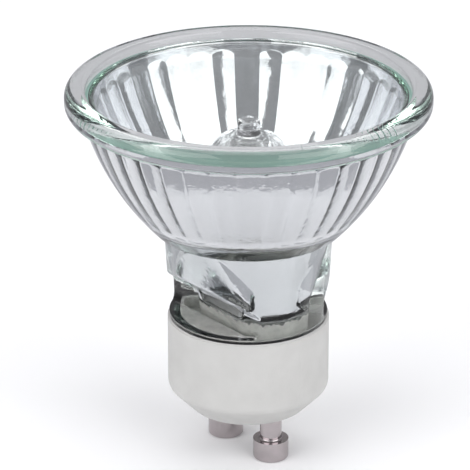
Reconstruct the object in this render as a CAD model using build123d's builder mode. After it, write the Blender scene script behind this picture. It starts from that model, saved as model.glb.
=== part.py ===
from build123d import *
from math import asin, cos, degrees, radians, sin, sqrt, tan
import os

# Spotlight bulb with a twist-lock pin base. Millimetres, +Z up, Z = 0 at the
# tips of the two pins. The Z axis is the bulb's own axis, the pins stand along
# X, and the two notches in the glass neck face along Y.

# Contact pins
pin_spacing = 10.0
pin_head_radius = 2.5
pin_head_height = 2.9
pin_head_round = 0.35
pin_shank_radius = 1.53
pin_root_round = 0.25
pin_protrusion = 6.84
pin_bore_radius = 0.5
pin_tip_thickness = 3.2
rivet_radius = 2.2
rivet_height = 0.5

# Ceramic base, a cup with a bevelled foot
base_radius = 11.3
base_height = 13.66
base_bevel_width = 3.14
base_bevel_height = 3.22
base_bevel_round = 1.5
base_foot_round = 0.6
base_rim_chamfer = 0.25
base_wall = 1.75
base_floor = 2.6

# Pressed glass reflector: spigot, neck, bowl and rim bead. The neck stands
# back a little from the base's edge, and the bowl steps out past the neck.
cement_thickness = 0.55
spigot_length = 4.5
neck_height = 13.2
neck_setback = 0.25
neck_flare = 0.7
neck_root_round = 0.4
bowl_step = 1.25
bowl_foot_round = 0.3
bowl_height = 17.3
bowl_bulge = 1.3
bowl_wall = 1.9
rim_radius = 25.25
bead_overhang = 2.27
bead_width = 2.9
bead_height = 3.5
bead_round = 1.45
bead_inner_round = 0.7
pocket_depth = 2.7

# Flutes pressed into the inside of the bowl, with arched ends
flute_count = 36
flute_radius = 6.5
flute_depth = 0.35
flute_end_round = 1.6
flute_top_drop = 1.4
flute_foot_rise = 4.6

# Hollow inside of the neck
floor_rise = 2.9
throat_wall = 2.55
throat_depth = 3.4
slot_end_wall = 0.6
slot_width = 8.2

# The two notches in the neck, each with a flat back and a sloping roof
notch_flat = 5.9
notch_floor = 0.6
notch_back_height = 3.3
notch_roof_slope = 36.3
notch_round = 1.2

# Cover glass and the clear seal round its edge
cover_thickness = 1.5
cover_arris = 0.2
seal_width = 0.45
seal_height = 1.3

# Quartz capsule with its sealing tip and flat pinch
capsule_radius = 5.5
capsule_wall = 0.8
capsule_length = 14.0
capsule_rise = 0.3
dome_round = 3.3
tip_radius = 1.68
tip_height = 2.3
tip_round = 0.9
tip_root_round = 0.4
shoulder_height = 3.0
shoulder_bulge = 0.5
pinch_width = 10.4
pinch_thickness = 3.2
pinch_round = 0.5
pinch_length = 10.1
cavity_floor_round = 1.5

# Foils and leads sealed in the pinch
lead_radius = 0.35
lead_spacing = 5.2
lead_bend = 0.8
foil_width = 2.0
foil_length = 6.0
foil_thickness = 0.1
foil_rise = 2.0
foil_overlap = 1.2

# Filament, one upright coil
coil_radius = 0.75
coil_wire_radius = 0.16
coil_pitch = 0.75
coil_turns = 11.5
coil_rise = 2.2

# Wiring inside the base
wire_bend = 2.2
wire_turn_drop = 1.9
wire_arrive_rise = 5.2
sleeve_wall = 0.35
sleeve_end_gap = 0.6
fuse_wire_radius = 0.15
ferrule_length = 2.0
ferrule_wall = 0.2
ferrule_rise = 1.0

# Clearances: a seated pair, and a welded or fused pair
seat_gap = 0.05
weld_gap = 0.02

# Levels, from the pin tips up
base_bottom = pin_protrusion
base_inside = base_bottom + base_floor
base_top = base_bottom + base_height
spigot_bottom = base_top - spigot_length
bowl_foot = base_top + neck_height
throat_floor = bowl_foot - throat_depth
bowl_floor = bowl_foot + floor_rise
bowl_mouth = bowl_foot + bowl_height
rim_top = bowl_mouth + bead_height
ledge = rim_top - pocket_depth
capsule_bottom = bowl_foot + capsule_rise
capsule_top = capsule_bottom + capsule_length
pinch_top = capsule_bottom - shoulder_height
pinch_bottom = pinch_top - pinch_length
foil_bottom = pinch_bottom + foil_rise
foil_top = foil_bottom + foil_length
coil_bottom = capsule_bottom + coil_rise
coil_top = coil_bottom + coil_pitch * coil_turns
rivet_top = base_inside + seat_gap + rivet_height

# Places across the bulb
pin_x = pin_spacing / 2
lead_x = lead_spacing / 2
base_foot_radius = base_radius - base_bevel_width
base_bore = base_radius - base_wall
spigot_radius = base_bore - cement_thickness
neck_bottom_radius = base_radius - neck_setback
neck_top_radius = neck_bottom_radius + neck_flare
throat_radius = neck_top_radius - throat_wall
slot_length = 2 * (spigot_radius - slot_end_wall)
bowl_foot_radius = neck_top_radius + bowl_step
bowl_mouth_radius = rim_radius - bead_overhang
pocket_radius = rim_radius - bead_width
cover_radius = pocket_radius - seal_width

# Centre and radius of the arc that the bowl's outer outline follows
chord_r = bowl_mouth_radius - bowl_foot_radius
chord = sqrt(chord_r**2 + bowl_height**2)
bowl_arc = (chord**2 / 4 + bowl_bulge**2) / (2 * bowl_bulge)
centre_shift = (bowl_arc - bowl_bulge) / chord
arc_r = (bowl_foot_radius + bowl_mouth_radius) / 2 - bowl_height * centre_shift
arc_z = (bowl_foot + bowl_mouth) / 2 + chord_r * centre_shift
flute_arc = bowl_arc - bowl_wall
inside_arc = flute_arc - flute_depth


def arc_radius_at(arc, z):
    """Radius, at height z, of an outline concentric with the bowl's."""
    return arc_r + sqrt(arc**2 - (z - arc_z) ** 2)


def save(part, name):
    """Label a finished piece and write its file."""
    part.label = name
    export_step(part, f"parts/{name}.step")


os.makedirs("parts", exist_ok=True)

# One flute: a shallow round channel that follows the bowl's arc, rounded off at
# both ends. Its angles are counted round the arc's centre.
high_angle = degrees(asin((ledge - flute_top_drop - arc_z) / flute_arc))
low_angle = degrees(asin((bowl_foot + flute_foot_rise - arc_z) / flute_arc))


def across_flute(angle):
    """Plane across a flute, with its origin in the flute's deepest line and +Y into the bowl."""
    away = (cos(radians(angle)), sin(radians(angle)))
    return Plane(
        origin=(arc_r + flute_arc * away[0], 0, arc_z + flute_arc * away[1]),
        x_dir=(0, 1, 0),
        z_dir=(-away[1], 0, away[0]),
    )


def flute_section(plane):
    """The channel's section: the part of a circle that is sunk into the glass and a little more."""
    with BuildSketch(plane) as section:
        with Locations((0, flute_radius)):
            Circle(flute_radius)
        with Locations((0, flute_end_round / 2)):
            Rectangle(2 * flute_radius, flute_end_round, mode=Mode.INTERSECT)
    return section.sketch


with BuildPart() as flute:
    add(flute_section(across_flute(low_angle)))
    revolve(axis=Axis((arc_r, 0, arc_z), (0, -1, 0)), revolution_arc=high_angle - low_angle)
    for end_angle in (low_angle, high_angle):
        end_plane = across_flute(end_angle)
        add(flute_section(end_plane))
        revolve(axis=Axis(end_plane.from_local_coords((0, flute_end_round, 0)), (0, 1, 0)))

# Reflector, pressed in one piece: spigot, neck, bowl and rim bead
with BuildPart() as reflector:
    with BuildSketch(Plane.XZ) as outside:
        with BuildLine():
            Polyline(
                (0, ledge),
                (0, spigot_bottom),
                (spigot_radius, spigot_bottom),
                (spigot_radius, base_top),
                (neck_bottom_radius, base_top),
                (neck_top_radius, bowl_foot),
                (bowl_foot_radius, bowl_foot),
            )
            SagittaArc((bowl_foot_radius, bowl_foot), (bowl_mouth_radius, bowl_mouth), -bowl_bulge)
            Polyline((bowl_mouth_radius, bowl_mouth), (bowl_mouth_radius, ledge), (0, ledge))
        make_face()
        neck_root = outside.vertices().sort_by_distance((neck_top_radius, bowl_foot))[0]
        fillet(neck_root, radius=neck_root_round)
        foot_corner = outside.vertices().sort_by_distance((bowl_foot_radius, bowl_foot))[0]
        fillet(foot_corner, radius=bowl_foot_round)
    revolve(axis=Axis.Z)
    with BuildSketch(Plane.XZ) as bead:
        with Locations(((pocket_radius + rim_radius) / 2, (bowl_mouth + rim_top) / 2)):
            Rectangle(rim_radius - pocket_radius, bead_height)
        fillet(bead.vertices().group_by(Axis.X)[-1], radius=bead_round)
        fillet(bead.vertices().sort_by_distance((pocket_radius, rim_top))[0], radius=bead_inner_round)
    revolve(axis=Axis.Z)

    # Smooth inside of the bowl, and the round throat below it
    middle = (ledge + bowl_floor) / 2
    with BuildSketch(Plane.XZ):
        with BuildLine():
            ThreePointArc(
                (arc_radius_at(inside_arc, ledge), ledge),
                (arc_radius_at(inside_arc, middle), middle),
                (arc_radius_at(inside_arc, bowl_floor), bowl_floor),
            )
            Polyline(
                (arc_radius_at(inside_arc, bowl_floor), bowl_floor),
                (throat_radius, bowl_foot),
                (throat_radius, throat_floor),
                (0, throat_floor),
                (0, ledge),
                (arc_radius_at(inside_arc, ledge), ledge),
            )
        make_face()
    revolve(axis=Axis.Z, mode=Mode.SUBTRACT)

    # Slot down through the neck for the pinch of the capsule
    with BuildSketch(Plane.XY.offset(spigot_bottom)):
        SlotOverall(slot_length, slot_width)
    extrude(amount=throat_floor - spigot_bottom, mode=Mode.SUBTRACT)

    # Flats on the spigot, in line with the backs of the notches
    with BuildSketch(Plane.XY.offset(spigot_bottom)):
        Circle(neck_bottom_radius)
        Rectangle(neck_bottom_radius * 2, notch_flat * 2, mode=Mode.SUBTRACT)
    extrude(amount=spigot_length, mode=Mode.SUBTRACT)

    # The two notches, cut as one profile and its mirror image
    notch_reach = neck_top_radius + 1
    notch_bottom = base_top + notch_floor
    notch_corner = notch_bottom + notch_back_height
    roof_rise = (notch_reach - notch_flat) * tan(radians(notch_roof_slope))
    with BuildSketch(Plane.YZ) as notch:
        with BuildLine():
            Polyline(
                (notch_flat, notch_bottom),
                (notch_reach, notch_bottom),
                (notch_reach, notch_corner + roof_rise),
                (notch_flat, notch_corner),
                close=True,
            )
        make_face()
        fillet(notch.vertices().group_by(Axis.X)[0], radius=notch_round)
        mirror(about=Plane.YZ)
    extrude(amount=neck_top_radius, both=True, mode=Mode.SUBTRACT)

    # Flutes all round the inside
    with PolarLocations(0, flute_count):
        add(flute.part, mode=Mode.SUBTRACT)
save(reflector.part, "reflector")

# Ceramic base: a cup with a bevelled foot and two pin holes
with BuildPart() as base_shell:
    with BuildSketch(Plane.XZ) as cup:
        with BuildLine():
            Polyline(
                (0, base_bottom),
                (base_foot_radius, base_bottom),
                (base_radius, base_bottom + base_bevel_height),
                (base_radius, base_top),
                (base_bore, base_top),
                (base_bore, base_inside),
                (0, base_inside),
                close=True,
            )
        make_face()
        foot_edge = cup.vertices().sort_by_distance((base_foot_radius, base_bottom))[0]
        fillet(foot_edge, radius=base_foot_round)
        bevel_top = cup.vertices().sort_by_distance((base_radius, base_bottom + base_bevel_height))[0]
        fillet(bevel_top, radius=base_bevel_round)
        rim_edge = cup.vertices().sort_by_distance((base_radius, base_top))[0]
        chamfer(rim_edge, length=base_rim_chamfer)
    revolve(axis=Axis.Z)
    with Locations((-pin_x, 0, base_inside), (pin_x, 0, base_inside)):
        Hole(radius=pin_shank_radius + seat_gap, depth=base_floor)
save(base_shell.part, "base_shell")

# Cement between the spigot and the cup, flush with the spigot's end
with BuildPart() as base_cement:
    with BuildSketch(Plane.XY.offset(spigot_bottom)):
        Circle(base_bore - seat_gap)
        with BuildSketch(mode=Mode.SUBTRACT):
            Circle(spigot_radius + seat_gap)
            Rectangle(base_bore * 2, (notch_flat + seat_gap) * 2, mode=Mode.INTERSECT)
    extrude(amount=spigot_length - seat_gap)
save(base_cement.part, "base_cement")

# Cement round the pinch, which fills the slot of the neck
with BuildPart() as capsule_cement:
    with BuildSketch(Plane.XY.offset(pinch_bottom)):
        SlotOverall(slot_length - 2 * seat_gap, slot_width - 2 * seat_gap)
        RectangleRounded(
            pinch_width + 2 * seat_gap,
            pinch_thickness + 2 * seat_gap,
            pinch_round,
            mode=Mode.SUBTRACT,
        )
    extrude(amount=throat_floor - pinch_bottom)
save(capsule_cement.part, "capsule_cement")

# Cover glass, laid on the ledge inside the rim
with BuildPart() as cover_glass:
    with Locations((0, 0, ledge + weld_gap)):
        Cylinder(cover_radius, cover_thickness, align=(Align.CENTER, Align.CENTER, Align.MIN))
    chamfer(cover_glass.edges().filter_by(GeomType.CIRCLE), length=cover_arris)
save(cover_glass.part, "cover_glass")

# Clear seal in the gap round the cover glass
with BuildPart() as cover_seal:
    with BuildSketch(Plane.XY.offset(ledge + weld_gap)):
        Circle(pocket_radius - weld_gap)
        Circle(cover_radius + weld_gap, mode=Mode.SUBTRACT)
    extrude(amount=seal_height)
save(cover_seal.part, "cover_seal")

# Foils and leads of each side, from the capsule down
foil_y = -(lead_radius + weld_gap + foil_thickness / 2)
foil_back = foil_y - foil_thickness / 2 - weld_gap
foil_middle = (foil_bottom + foil_top) / 2


def lead(route_points, bend):
    """A round wire, centred on a route in the plane of the pins."""
    with BuildPart() as wire:
        with BuildLine(Plane.XZ) as route:
            FilletPolyline(*route_points, radius=bend)
        with BuildSketch(Plane(route.wire() ^ 0)):
            Circle(lead_radius)
        sweep()
    return wire.part


lead_end = coil_radius + coil_wire_radius + weld_gap
lead_foot = foil_top - foil_overlap
short_route = [(lead_x, lead_foot), (lead_x, coil_bottom), (lead_end, coil_bottom)]
long_route = [(-lead_x, lead_foot), (-lead_x, coil_top), (-lead_end, coil_top)]
save(lead(short_route, lead_bend), "inner_lead_short")
save(lead(long_route, lead_bend), "inner_lead_long")

for side, foil_x in (("a", lead_x), ("b", -lead_x)):
    with BuildPart() as foil:
        with Locations((foil_x, foil_y, foil_middle)):
            Box(foil_width, foil_thickness, foil_length)
    save(foil.part, f"foil_{side}")

# Filament: one upright coil between the ends of the two inner leads
with BuildPart() as filament:
    with BuildLine() as spiral:
        Helix(
            pitch=coil_pitch,
            height=coil_top - coil_bottom,
            radius=coil_radius,
            center=(0, 0, coil_bottom),
        )
    with BuildSketch(Plane(spiral.wire() ^ 0)):
        Circle(coil_wire_radius)
    sweep(is_frenet=True)
save(filament.part, "filament")

# Quartz capsule: domed tube, drawn in at the bottom to a flat pinch
with BuildPart() as capsule_envelope:
    with BuildSketch(Plane.XZ) as profile:
        with Locations((0, pinch_top)):
            Rectangle(capsule_radius, capsule_top - pinch_top, align=Align.MIN)
            Rectangle(tip_radius, capsule_top + tip_height - pinch_top, align=Align.MIN)
        rounds = (
            (capsule_radius, capsule_top, dome_round),
            (tip_radius, capsule_top + tip_height, tip_round),
            (tip_radius, capsule_top, tip_root_round),
        )
        for corner_r, corner_z, corner_round in rounds:
            corner = profile.vertices().sort_by_distance((corner_r, corner_z))[0]
            fillet(corner, radius=corner_round)
    revolve(axis=Axis.Z)
    # Shoulders, where the tube was squeezed flat, and the pinch below them
    with BuildSketch(Plane.YZ):
        with BuildLine():
            shoulder_top = (capsule_radius, capsule_bottom)
            shoulder_foot = (pinch_thickness / 2, pinch_top)
            SagittaArc(shoulder_top, shoulder_foot, shoulder_bulge)
            Polyline(shoulder_foot, (capsule_radius, pinch_top), shoulder_top)
        make_face()
        mirror(about=Plane.YZ)
    extrude(amount=capsule_radius, both=True, mode=Mode.SUBTRACT)
    with BuildSketch(Plane.XY.offset(pinch_bottom)):
        RectangleRounded(pinch_width, pinch_thickness, pinch_round)
    extrude(amount=pinch_length)
    # The hollow, with a domed top and a rounded floor
    with BuildSketch(Plane.XZ) as hollow:
        inside_radius = capsule_radius - capsule_wall
        inside_top = capsule_top - capsule_wall
        with Locations((0, capsule_bottom)):
            Rectangle(inside_radius, inside_top - capsule_bottom, align=Align.MIN)
        inside_corner = hollow.vertices().sort_by_distance((inside_radius, inside_top))[0]
        fillet(inside_corner, radius=dome_round - capsule_wall)
        floor_corner = hollow.vertices().sort_by_distance((inside_radius, capsule_bottom))[0]
        fillet(floor_corner, radius=cavity_floor_round)
    revolve(axis=Axis.Z, mode=Mode.SUBTRACT)
    # Channels that the leads and the foils fill
    with Locations((-lead_x, 0, lead_foot - weld_gap), (lead_x, 0, lead_foot - weld_gap)):
        Cylinder(
            lead_radius + weld_gap,
            capsule_bottom - lead_foot + capsule_wall,
            align=(Align.CENTER, Align.CENTER, Align.MIN),
            mode=Mode.SUBTRACT,
        )
    with Locations((-lead_x, 0, pinch_bottom), (lead_x, 0, pinch_bottom)):
        Cylinder(
            lead_radius + weld_gap,
            foil_rise + foil_overlap + weld_gap,
            align=(Align.CENTER, Align.CENTER, Align.MIN),
            mode=Mode.SUBTRACT,
        )
    with Locations((-lead_x, foil_back, foil_middle), (lead_x, foil_back, foil_middle)):
        Box(
            foil_width + 2 * weld_gap,
            -foil_back - lead_radius / 2,
            foil_length + 2 * weld_gap,
            align=(Align.CENTER, Align.MIN, Align.CENTER),
            mode=Mode.SUBTRACT,
        )
save(capsule_envelope.part, "capsule_envelope")

# Wiring in the base: side a runs whole, side b passes through a fuse wire
lead_head = foil_bottom + foil_overlap
wire_turn = pinch_bottom - wire_turn_drop
wire_arrive = base_inside + wire_arrive_rise
bore_floor = pin_tip_thickness + weld_gap
ferrule_bottom = rivet_top + ferrule_rise
ferrule_top = ferrule_bottom + ferrule_length
fuse_joint = (ferrule_bottom + ferrule_top) / 2
sleeve_top = pinch_bottom - sleeve_end_gap

sleeve_bottom_a = rivet_top + sleeve_end_gap
sleeve_bottom_b = ferrule_top + weld_gap

for side, way, wire_end in (("a", 1, bore_floor), ("b", -1, fuse_joint)):
    wire_route = [
        (way * lead_x, lead_head),
        (way * lead_x, wire_turn),
        (way * pin_x, wire_arrive),
        (way * pin_x, wire_end),
    ]
    save(lead(wire_route, wire_bend), f"outer_lead_{side}")

for side, way, sleeve_bottom in (("a", 1, sleeve_bottom_a), ("b", -1, sleeve_bottom_b)):
    with BuildPart() as sleeve:
        with BuildLine(Plane.XZ) as run:
            FilletPolyline(
                (way * lead_x, sleeve_top),
                (way * lead_x, wire_turn),
                (way * pin_x, wire_arrive),
                (way * pin_x, sleeve_bottom),
                radius=wire_bend,
            )
        with BuildSketch(Plane(run.wire() ^ 0)):
            Circle(lead_radius + seat_gap + sleeve_wall)
            Circle(lead_radius + seat_gap, mode=Mode.SUBTRACT)
        sweep()
    save(sleeve.part, f"insulating_sleeve_{side}")

with BuildPart() as fuse_link:
    with Locations((-pin_x, 0, bore_floor)):
        Cylinder(
            fuse_wire_radius,
            fuse_joint - weld_gap - bore_floor,
            align=(Align.CENTER, Align.CENTER, Align.MIN),
        )
save(fuse_link.part, "fuse_link")

with BuildPart() as fuse_ferrule:
    with BuildSketch(Plane.XY.offset(ferrule_bottom)):
        with Locations((-pin_x, 0)):
            Circle(lead_radius + weld_gap + ferrule_wall)
            Circle(lead_radius + weld_gap, mode=Mode.SUBTRACT)
    extrude(amount=ferrule_length)
save(fuse_ferrule.part, "fuse_ferrule")

# Contact pins: headed and bored, with the inner end riveted over the floor
for side, x in (("a", pin_x), ("b", -pin_x)):
    with BuildPart() as contact_pin:
        with BuildSketch(Plane(origin=(x, 0, 0), x_dir=(1, 0, 0), z_dir=(0, -1, 0))) as half:
            with BuildLine():
                Polyline(
                    (0, 0),
                    (pin_head_radius, 0),
                    (pin_head_radius, pin_head_height),
                    (pin_shank_radius, pin_head_height),
                    (pin_shank_radius, base_inside + seat_gap),
                    (rivet_radius, base_inside + seat_gap),
                    (rivet_radius, rivet_top),
                    (pin_bore_radius, rivet_top),
                    (pin_bore_radius, pin_tip_thickness),
                    (0, pin_tip_thickness),
                    close=True,
                )
            make_face()
            head_edge = half.vertices().sort_by_distance((pin_head_radius, 0))[0]
            fillet(head_edge, radius=pin_head_round)
            shank_root = half.vertices().sort_by_distance((pin_shank_radius, pin_head_height))[0]
            fillet(shank_root, radius=pin_root_round)
        revolve(axis=Axis((x, 0, 0), (0, 0, 1)))
    save(contact_pin.part, f"contact_pin_{side}")
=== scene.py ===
from math import asin, cos, pi, radians, sin, sqrt, tan

import bpy
import numpy as np
from bpy.props import FloatProperty, FloatVectorProperty, IntProperty, PointerProperty
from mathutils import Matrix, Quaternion, Vector


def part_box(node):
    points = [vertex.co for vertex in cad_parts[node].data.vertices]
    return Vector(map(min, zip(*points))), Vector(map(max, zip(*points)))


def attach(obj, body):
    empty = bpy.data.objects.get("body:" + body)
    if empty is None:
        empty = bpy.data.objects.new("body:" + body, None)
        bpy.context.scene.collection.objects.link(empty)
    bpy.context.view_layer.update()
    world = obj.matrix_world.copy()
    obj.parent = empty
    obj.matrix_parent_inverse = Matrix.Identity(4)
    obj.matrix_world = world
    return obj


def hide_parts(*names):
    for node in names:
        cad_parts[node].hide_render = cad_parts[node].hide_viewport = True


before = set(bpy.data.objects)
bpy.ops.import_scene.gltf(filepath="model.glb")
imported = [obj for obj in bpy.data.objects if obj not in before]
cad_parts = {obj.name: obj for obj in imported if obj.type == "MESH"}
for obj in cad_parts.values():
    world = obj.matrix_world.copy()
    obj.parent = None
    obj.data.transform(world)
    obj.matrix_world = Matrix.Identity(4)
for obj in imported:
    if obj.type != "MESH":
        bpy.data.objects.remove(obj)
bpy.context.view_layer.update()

bl_info = {
    "name": "Reflector Spotlight Bulb",
    "version": (1, 0, 0),
    "blender": (4, 5, 0),
    "location": "View3D > Sidebar > Bulb",
    "description": "Dresses a silvered glass spotlight bulb with a two-pin ceramic base",
    "category": "Add Mesh",
}

MM = 0.001
BODY = "root"
NEAR_AXIS = 0.15 * MM

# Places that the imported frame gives, in metres
glass_low, glass_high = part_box("reflector")
base_low, base_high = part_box("base_shell")
capsule_low, capsule_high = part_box("capsule_envelope")
coil_low, coil_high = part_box("filament")


def length(name, description, millimetres):
    """A size property, given in millimetres and kept in metres."""
    return FloatProperty(
        name=name, description=description, default=millimetres * MM, min=0.0, unit="LENGTH", precision=5
    )


def colour(name, description, value):
    """A colour property without alpha."""
    return FloatVectorProperty(
        name=name, description=description, default=value, min=0.0, max=1.0, size=3, subtype="COLOR"
    )


class BulbSizes(bpy.types.PropertyGroup):
    """Sizes of the pressed glass, the capsule and the coil that the frame's boxes don't give."""

    columns_per_rib: IntProperty(
        name="Columns per rib", description="Mesh columns across one rib", default=14, min=8
    )
    rib_count: IntProperty(name="Ribs", description="Ribs round the bowl's inside", default=38, min=3)
    rib_turn: FloatProperty(
        name="Rib turn", description="Where the first rib stands", default=radians(-1.0), unit="ROTATION"
    )
    rib_crown: length("Rib crown", "Radius of a rib's crowned face", 17.0)
    rib_height: length("Rib height", "Rise of a rib's middle line over the wall", 0.22)
    rib_crease: length("Rib crease", "Softness of the crease between two ribs", 0.09)
    rib_end_round: length("Rib end round", "Radius of a rib's arched end", 5.0)
    rib_top_drop: length("Rib top drop", "From the ledge down to a rib's full height", 2.2)
    rib_foot_rise: length("Rib foot rise", "From the bowl's foot up to a rib's full height", 4.6)
    neck_setback: length("Neck setback", "How far the neck stands back from the base's edge", 0.25)
    neck_flare: length("Neck flare", "How much the neck widens upwards", 0.7)
    neck_height: length("Neck height", "From the base's rim to the bowl's foot", 13.2)
    neck_root_round: length("Neck root round", "Fillet between neck and bowl", 0.6)
    spigot_inset: length("Spigot inset", "Base wall and cement outside the spigot", 2.3)
    bowl_step: length("Bowl step", "How far the bowl's foot stands out from the neck", 1.25)
    bowl_foot_round: length("Bowl foot round", "Rounding of the bowl's foot", 1.2)
    bowl_height: length("Bowl height", "From the bowl's foot to the bead", 17.3)
    bowl_bulge: length("Bowl bulge", "Rise of the bowl's outline over its chord", 1.3)
    bowl_wall: length("Bowl wall", "Thickness of the glass between ribs", 1.9)
    bead_overhang: length("Bead overhang", "How far the bead stands out past the bowl", 2.27)
    bead_width: length("Bead width", "Width of the rim bead", 2.9)
    bead_round: length("Bead round", "Rounding of the bead's outer edges", 1.45)
    bead_inner_round: length("Bead inner round", "Rounding of the bead's inner edge", 0.7)
    pocket_depth: length("Pocket depth", "From the rim down to the ledge", 2.7)
    film_foot: length("Film foot", "From the base's rim up to the silvering's lower edge", 1.5)
    film_tear: length("Film tear", "Unevenness of the silvering's lower edge", 0.8)
    floor_rise: length("Floor rise", "From the bowl's foot up to the ribbed wall", 2.9)
    throat_radius: length("Throat radius", "Radius of the throat's mouth", 7.9)
    throat_round: length("Throat round", "Rounding of the throat's mouth", 0.5)
    throat_depth: length("Throat depth", "From the bowl's foot down to the cement", 6.2)
    slot_end_radius: length("Slot end radius", "Radius of the slot's ends at the base's rim", 5.9)
    slot_width: length("Slot width", "Width of the slot for the pinch", 8.2)
    slot_round: length("Slot round", "Softness of the edges between its sides and ends", 0.8)
    seat_gap: length("Seat gap", "Gap between the cement and what it holds", 0.05)
    notch_flat: length("Notch flat", "From the axis to the back of a notch", 5.9)
    notch_floor: length("Notch floor", "From the base's rim to a notch's floor", 0.6)
    notch_back: length("Notch back", "Height of a notch's flat back", 3.3)
    notch_slope: FloatProperty(
        name="Notch slope", description="Rise of a notch's roof", default=radians(36.3), unit="ROTATION"
    )
    notch_round: length("Notch round", "Fillets at a notch's back", 1.2)
    notch_lip: length("Notch lip", "Softness of a notch's outer edge", 0.55)
    ripple: length("Ripple", "Unevenness of the pressed glass", 0.03)
    neck_ripple: length("Neck ripple", "Unevenness of the glass at the neck", 0.07)
    capsule_wall: length("Capsule wall", "Thickness of the quartz tube", 0.8)
    capsule_rise: length("Capsule rise", "From the bowl's foot up to the capsule's hollow", 0.3)
    capsule_length: length("Capsule length", "From the hollow's floor up to the dome's top", 12.3)
    hollow_round: length("Hollow round", "Rounding at the foot of the capsule's hollow", 1.5)
    dome_round: length("Dome round", "Rounding of the capsule's top", 3.3)
    tip_radius: length("Tip radius", "Radius of the sealing tip", 1.68)
    tip_height: length("Tip height", "Height of the sealing tip", 2.3)
    tip_round: length("Tip round", "Rounding of the tip", 0.9)
    tip_root_round: length("Tip root round", "Fillet at the tip's root", 0.4)
    shoulder_height: length("Shoulder height", "Height over which the tube is squeezed flat", 3.0)
    pinch_width: length("Pinch width", "Width of the pinch", 10.4)
    pinch_thickness: length("Pinch thickness", "Thickness of the pinch", 3.2)
    pinch_round: length("Pinch round", "Softness of the edges between the tube and its flat sides", 0.5)
    quartz_ripple: length("Quartz ripple", "Unevenness of the capsule's wall", 0.32)
    fine_coil: length("Fine coil", "Outer radius of the fine coil", 0.16)
    coil_wire: length("Coil wire", "Radius of the drawn filament wire", 0.035)
    coil_turns: FloatProperty(name="Coil turns", description="Turns of the upright coil", default=11.5)
    inner_turns: IntProperty(name="Inner turns", description="Turns of the fine coil", default=420, min=10)


class BulbFinishes(bpy.types.PropertyGroup):
    """Colours of the bulb's materials."""

    glass_tint: colour("Glass tint", "What pressed glass lets through", (0.62, 0.93, 0.78))
    seal_tint: colour("Seal tint", "The clear green seal round the cover glass", (0.46, 0.70, 0.62))
    silver: colour("Silvering", "The metal film on the glass", (0.63, 0.635, 0.66))
    quartz_tint: colour("Quartz tint", "What quartz lets through", (0.93, 0.90, 0.93))
    ceramic: colour("Ceramic", "Fired steatite", (0.515, 0.512, 0.50))
    cement: colour("Cement", "Dry lamp cement", (0.90, 0.89, 0.85))
    nickel: colour("Nickel", "Plating of the pins", (0.50, 0.455, 0.465))
    tungsten: colour("Tungsten", "Drawn filament wire", (0.30, 0.29, 0.30))
    molybdenum: colour("Molybdenum", "Leads and foils", (0.48, 0.48, 0.50))
    fibre: colour("Fibre", "Braided glass sleeve", (0.80, 0.77, 0.69))
    copper: colour("Copper", "Fuse wire", (0.78, 0.46, 0.30))
    floor: colour("Floor", "Studio floor", (0.93, 0.93, 0.94))


def rounded_path(corners, rounds, steps=6):
    """A path through corner points, each replaced by a tangent arc of its own radius.

    The arc of radius r at a corner of inner angle a starts r / tan(a / 2) from it, and
    its points turn evenly about the centre, r / sin(a / 2) along the corner's bisector.
    A radius of 0 keeps the corner.
    """
    corners = np.asarray(corners, float)
    path = [corners[:1]]
    for before, corner, after, r in zip(corners, corners[1:], corners[2:], rounds[1:]):
        if r == 0.0:
            path.append(corner[None])
            continue
        back = (before - corner) / np.linalg.norm(before - corner)
        ahead = (after - corner) / np.linalg.norm(after - corner)
        inner = np.arccos(np.clip(back @ ahead, -1, 1))
        bisector = (back + ahead) / np.linalg.norm(back + ahead)
        centre = corner + bisector * r / sin(inner / 2)
        start = corner + back * r / tan(inner / 2) - centre
        end = corner + ahead * r / tan(inner / 2) - centre
        turn = pi - inner
        t = np.linspace(0, 1, steps)[:, None]
        path.append(centre + (np.sin((1 - t) * turn) * start + np.sin(t * turn) * end) / sin(turn))
    path.append(corners[-1:])
    return np.concatenate(path)


def with_steps(path, longest):
    """The same path with points added, so that no stretch is longer than the given one."""
    runs = np.linalg.norm(np.diff(path, axis=0), axis=1)
    parts = np.maximum(np.ceil(runs / longest), 1).astype(int)
    starts = np.repeat(np.arange(len(runs)), parts)
    share = np.concatenate([np.arange(n) / n for n in parts])[:, None]
    inner = path[starts] * (1 - share) + path[starts + 1] * share
    return np.concatenate([inner, path[-1:]])


def soft_min(a, b, width):
    """The smaller of two values, rounded off where they differ by less than the width."""
    near = np.maximum(width - np.abs(a - b), 0.0) / width
    return np.minimum(a, b) - near**2 * width / 4


def flat_side(distance, share):
    """Radius of two flat sides: their distance from the axis / |the angle's sine or cosine|."""
    return distance / np.maximum(np.abs(share), 1e-6)


def waves(angle, height, seed):
    """Unevenness from 0 to 1: five sines of whole numbers of turns, leaning with the height.

    Sine k, from 0 to 4, has 2 + 3 k turns and up to two more by the seed. It leans by
    230 + 190 k radians in a metre, to either side in turn, and weighs 1 / (1 + 0.6 k).
    Their sum is divided by a little more than twice the weights' sum.
    """
    total = np.zeros(np.broadcast(angle, height).shape)
    for k in range(5):
        turns = 2 + 3 * k + seed % 3
        lean = (230.0 + 190.0 * k) * (-1) ** (k + seed)
        total += np.sin(turns * angle + lean * height + 1.7 * seed + 2.1 * k) / (1 + 0.6 * k)
    return 0.5 + total / 5.6


def ring_faces(rows, columns, close_rows=False):
    """Quads between neighbouring rows of a grid whose columns close on themselves."""
    row = np.arange(rows if close_rows else rows - 1)[:, None]
    column = np.arange(columns)[None]
    following = (column + 1) % columns
    above = (row + 1) % rows
    corners = (row * columns + column, row * columns + following,
               above * columns + following, above * columns + column)
    return np.stack(np.broadcast_arrays(*corners), axis=-1).reshape(-1, 4)


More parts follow.
